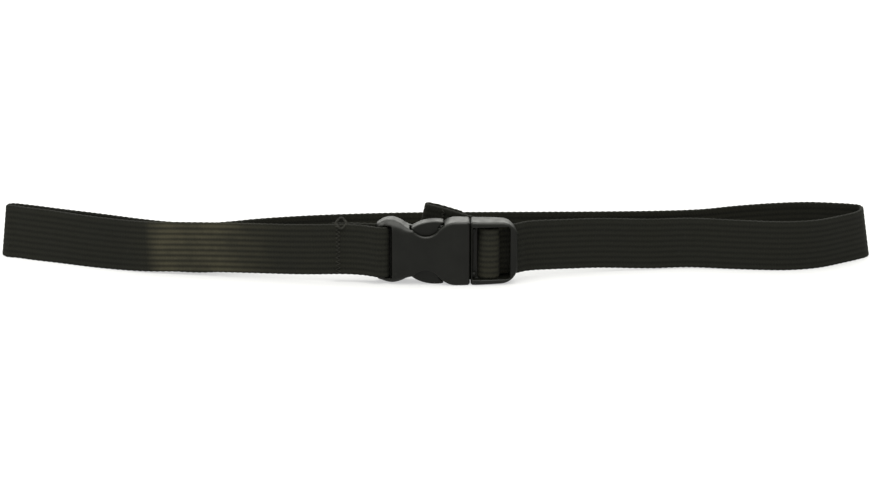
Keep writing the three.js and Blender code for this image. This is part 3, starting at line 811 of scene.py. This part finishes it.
# Places past the strap bar, in order along the strip, and how far the colour goes towards the paler
# brown at each: X, Y and level. On the front run it is faded brown; along the back run the paler
# colour is painted light, lightening the run that lies behind the front run and the buckle; in the
# adjuster it is a little paler.
FADE_AND_PAINTED_LIGHT = [
    (-58, 1.3, 0.06), (-84, 5, 0.14), (-98, 7.5, 0.45), (-108, 9.3, 0.85),
    (-142, 15, 0.9), (-145, 15.6, 0.12), (-160, 20, 0.02), (-63, 27.8, 0.08),
    (-23, 31.8, 0.16), (80, 33.7, 0.16), (196, 47.6, 0.06), (203.8, 34.4, 0.02),
    (33, 5.2, 0.03), (25.2, 1.5, 0.24), (16.5, -1, 0.24), (15.9, 5, 0.05),
]


def webbing_material(fade_and_light_stops, route_length):
    """Rubber strands bound in dark yarn, with painted shade darkening the grooves between the ribs.
    The stops say how far the strip goes towards a paler brown along its length: real fading on the
    front run, painted light on the back run.
    """
    material, tree, shader = new_material("elastic_webbing", "elastic_webbing")
    uv = tree.nodes.new("ShaderNodeUVMap")
    uv.uv_map = "strip"
    apart = tree.nodes.new("ShaderNodeSeparateXYZ")
    tree.links.new(uv.outputs["UV"], apart.inputs["Vector"])
    along, across = apart.outputs["X"], apart.outputs["Y"]
    rib_angle = reckon(tree, "MULTIPLY", across, 2 * math.pi / (RIB_PITCH * MM))
    rib_turn = reckon(tree, "COSINE", rib_angle)
    chevron = reckon(tree, "MULTIPLY", rib_turn, PICK_SLANT)
    turn = reckon(tree, "MULTIPLY_ADD", along, 2 * math.pi / (PICK * MM), chevron)
    pick = reckon(tree, "MULTIPLY_ADD", reckon(tree, "SINE", turn), 0.5, 0.5)
    crest = reckon(tree, "MULTIPLY_ADD", rib_turn, 0.5, 0.5)
    yarn = noise(tree, uv.outputs["UV"], scale=2600, roughness=0.6)
    patch = noise(tree, uv.outputs["UV"], scale=60, detail=4, roughness=0.6)
    relief = reckon(tree, "MULTIPLY_ADD", yarn, 1.4, pick)
    # Painted shade: the grooves between the ribs are darkened in colour and the crests kept light;
    # the same mask also sets where the crests wear paler.
    crest_wear_and_groove_shade = reckon(tree, "MULTIPLY_ADD", crest, 0.6, 0.4)
    weave_and_groove_shade = reckon(tree, "MULTIPLY", reckon(tree, "MULTIPLY_ADD", pick, 0.35, yarn), crest_wear_and_groove_shade)
    woven_tone_and_groove_shade = ramp(tree, weave_and_groove_shade, [(0.2, WEBBING_DARK), (0.62, WEBBING_LIGHT)])
    # How far towards the paler brown: faded on the front run, painted light on the back run, a little
    # paler in the adjuster.
    share = ramp(tree, reckon(tree, "DIVIDE", along, route_length * MM), fade_and_light_stops)
    worn = ramp(tree, reckon(tree, "MULTIPLY", patch, crest_wear_and_groove_shade), [(0.2, 0.25), (0.55, 1.0)])
    faded_and_painted_light = mixed(tree, reckon(tree, "MULTIPLY", share, worn), woven_tone_and_groove_shade, WEBBING_FADED_AND_PAINTED_LIGHT)
    specks = noise(tree, uv.outputs["UV"], scale=1500, detail=2, roughness=0.5)
    lint = ramp(tree, specks, [(0.68, 0.0), (0.8, 0.5)])
    dusted = mixed(tree, lint, faded_and_painted_light, WEBBING_LINT)
    tree.links.new(dusted, shader.inputs["Base Color"])
    dryness = ramp(tree, patch, [(0.3, 0.78), (0.7, 0.92)])
    tree.links.new(dryness, shader.inputs["Roughness"])
    tree.links.new(bump(tree, relief, strength=0.6, depth=0.00012), shader.inputs["Normal"])
    shader.inputs["Specular IOR Level"].default_value = 0.25
    shader.inputs["Sheen Weight"].default_value = 0.02
    shader.inputs["Sheen Roughness"].default_value = 0.5
    return material


def webbing():
    """One strip in three pieces: the sewn end, the back run, which stretches, and the tail."""
    route = Route([*SEWN_END_ROUTE, *BACK_ROUTE, *ADJUSTER_ROUTE, *hem_route()], HEM_TIP)
    total = route.length[-1]
    turn = route.station_at((WRAP_X, 0, LEVEL))
    # Stops of the paler brown: faded on the front run, painted light on the back run.
    stops = []
    for x, y, level in FADE_AND_PAINTED_LIGHT:
        station = route.station_at((x, y, LEVEL), turn)
        stops.append((route.length[station] / total, level))
    material = webbing_material(stops, total)
    seam = route.station_at(SEWN_END_ROUTE[-1])
    slot = route.station_at(BEHIND_END_BAR)
    sewn = webbing_piece("strap_sewn_end", route, 0, seam + 1, (True, False), material)
    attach(sewn, "strap_and_housing")
    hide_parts("elastic_strap")
    back = webbing_piece("strap_back_run", route, seam, slot + 1, (False, False), material)
    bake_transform(back)
    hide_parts("elastic_strap")
    tail = webbing_piece("strap_tail", route, slot, None, (False, True), material)
    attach(tail, "plug")
    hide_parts("adjuster_webbing")


# ---- Stitching ------------------------------------------------------------------------------

THREAD_RADIUS = 0.2
THREAD_SIDES = 7
THREAD_OVER = STRAP_THICKNESS / 2 + THREAD_RADIUS + 0.05  # a row's height from the strip's middle
THREAD_DARK = (0.019, 0.0185, 0.0145)
THREAD_LIGHT = (0.036, 0.035, 0.028)
NEVER_ALONG = (0.31, 0.93, 0.2)  # no thread runs in this direction
STITCH_COUNT = 24
STITCH_PITCH = 1.0
STITCH_SHARES = (0, 0.12, 0.35, 0.65, 0.88)
STITCH_DIP, STITCH_RISE = 0.35, 0.3  # how deep a stitch's ends go in, and how far it rises
LOOP_STITCH_SPREAD = 1.1
HEM_STITCH_SPREAD = 0.7
HEM_STITCH_FROM_TIP = 8
# The ring is three strands twisted round each other, a little lobed and lower than it is wide
RING_PLACE = (-50.8, 1.3, 13.7)
RING_RADIUS, RING_HALF_DEPTH, RING_FLATTENED = 2.3, 1.9, 0.85
RING_THREAD_RADIUS = 0.28
RING_TWISTS, RING_TWIST_RADIUS = 5, 0.34
RING_LOBES, RING_LOBE_HEIGHT = 4, 0.25


def thread_material():
    material, tree, shader = new_material("sewing_thread", "sewing_thread")
    place = object_place(tree)
    fibre = noise(tree, place, scale=3200, roughness=0.6)
    cloud = noise(tree, place, scale=500)
    tone = ramp(tree, cloud, [(0.3, THREAD_DARK), (0.7, THREAD_LIGHT)])
    tree.links.new(tone, shader.inputs["Base Color"])
    tree.links.new(bump(tree, fibre, strength=0.6, depth=0.00008), shader.inputs["Normal"])
    shader.inputs["Roughness"].default_value = 0.7
    shader.inputs["Specular IOR Level"].default_value = 0.3
    return material


def tube(points, radius):
    """Points and quads of a round thread along points, closed to a small cap at each end."""
    points = np.asarray(points, float)
    along = np.gradient(points, axis=0)
    along /= np.linalg.norm(along, axis=1, keepdims=True)
    side = np.cross(along, NEVER_ALONG)
    side /= np.linalg.norm(side, axis=1, keepdims=True)
    up = np.cross(along, side)
    angles = np.linspace(0, 2 * math.pi, THREAD_SIDES, endpoint=False)[None, :, None]
    ring = np.cos(angles) * side[:, None] + np.sin(angles) * up[:, None]
    skin = (points[:, None] + radius * ring).reshape(-1, 3)
    faces = []
    for i in range(len(points) - 1):
        start = i * THREAD_SIDES
        for k in range(THREAD_SIDES):
            a, b = start + k, start + (k + 1) % THREAD_SIDES
            faces.append([a, a + THREAD_SIDES, b + THREAD_SIDES, b])
    last = (len(points) - 1) * THREAD_SIDES
    faces.append(list(range(THREAD_SIDES)))
    faces.append([last + k for k in reversed(range(THREAD_SIDES))])
    return skin, faces


def thread_piece(name, strands, material, radius=THREAD_RADIUS):
    """One piece from several strands."""
    points, faces = [], []
    for strand in strands:
        start = sum(len(part) for part in points)
        skin, quads = tube(strand, radius)
        points.append(skin)
        faces.extend([[start + corner for corner in quad] for quad in quads])
    return mesh_piece(name, np.vstack(points), faces, material)


def zigzag(place, along, out, across, spread):
    """A row of slanting stitches over the strip's width; each end dips into the webbing."""
    corners = []
    for row in range(STITCH_COUNT + 1):
        side = 1 if row % 2 == 0 else -1
        height = (row - STITCH_COUNT / 2) * STITCH_PITCH
        corners.append(place + side * spread * along + height * across)
    path = []
    for here, after in zip(corners, corners[1:]):
        for share in STITCH_SHARES:
            rise = STITCH_RISE * math.sin(math.pi * share) ** 0.5 - STITCH_DIP
            path.append(here + (after - here) * share + rise * out)
    path.append(corners[-1] - STITCH_DIP * out)
    return path


def loop_stitches(material):
    """The row that closes the loop: needle thread in front, bobbin thread behind."""
    along, across = np.array([-1, 0, 0]), np.array([0, 0, 1])
    for name, y, out in (
        ("loop_stitch_needle_thread", LOOP_STITCH_Y - THREAD_OVER, np.array([0, -1, 0])),
        ("loop_stitch_bobbin_thread", REAR_Y + THREAD_OVER, np.array([0, 1, 0])),
    ):
        row = zigzag(np.array([LOOP_STITCH_X, y, SEWN_Z]), along, out, across, LOOP_STITCH_SPREAD)
        thread = thread_piece(name + "_row", [row], material)
        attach(thread, "strap_and_housing")
        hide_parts(name)


def ring_of_thread(material):
    """Spare thread, three strands twisted together, in a small ring on the upper edge."""
    turns = np.linspace(0, 2 * math.pi, 40)
    strands = []
    for phase in (0, 2.1, 4.2):
        wobble = RING_TWIST_RADIUS * np.sin(RING_TWISTS * turns + phase)
        sway = RING_TWIST_RADIUS * np.cos(RING_TWISTS * turns + phase)
        radius = RING_RADIUS + RING_LOBE_HEIGHT * np.cos(RING_LOBES * turns) + wobble
        x = RING_PLACE[0] + radius * np.cos(turns)
        y = RING_PLACE[1] + RING_HALF_DEPTH * np.sin(turns) + sway
        z = RING_PLACE[2] + RING_FLATTENED * radius * np.sin(turns)
        strands.append(np.stack([x, y, z], axis=1))
    ring = thread_piece("loop_stitch_thread_ring", strands, material, RING_THREAD_RADIUS)
    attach(ring, "strap_and_housing")


def hem_stitches(material):
    """The row that closes the hem: needle thread on the tail, bobbin thread on the laid-back end."""
    place = HEM_TIP - HEM_STITCH_FROM_TIP * HEM_ALONG
    for name, offset, out in (
        ("hem_stitch_needle_thread", -THREAD_OVER, -HEM_OUT),
        ("hem_stitch_bobbin_thread", STRAP_STEP + THREAD_OVER, HEM_OUT),
    ):
        row = zigzag(place + offset * HEM_OUT, HEM_ALONG, out, HEM_ACROSS, HEM_STITCH_SPREAD)
        thread = thread_piece(name + "_row", [row], material)
        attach(thread, "plug")
        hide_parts(name)


# ---- Floor ----------------------------------------------------------------------------------

FLOOR_SIZE = 16
FLOOR_GLOW = 0.5  # the floor is a pale light table, so shadows on it are faint


def floor():
    material, tree, shader = new_material("pale_floor", "")
    cloud = noise(tree, object_place(tree), scale=3, detail=2)
    tone = ramp(tree, cloud, [(0.3, 0.5), (0.7, 0.53)])
    tree.links.new(tone, shader.inputs["Base Color"])
    shader.inputs["Roughness"].default_value = 1
    shader.inputs["Specular IOR Level"].default_value = 0
    shader.inputs["Emission Color"].default_value = (1, 1, 1, 1)
    shader.inputs["Emission Strength"].default_value = FLOOR_GLOW
    mesh = bpy.data.meshes.new("floor")
    half = FLOOR_SIZE / 2
    corners = [(-half, -half, 0), (half, -half, 0), (half, half, 0), (-half, half, 0)]
    mesh.from_pydata(corners, [], [(0, 1, 2, 3)])
    mesh.materials.append(material)
    ground = add_to_scene("floor", mesh)
    ground.visible_glossy = False


# ---- The whole ------------------------------------------------------------------------------

camera()
studio()
floor()
buckle(plastic_material())
webbing()
cotton = thread_material()
loop_stitches(cotton)
ring_of_thread(cotton)
hem_stitches(cotton)
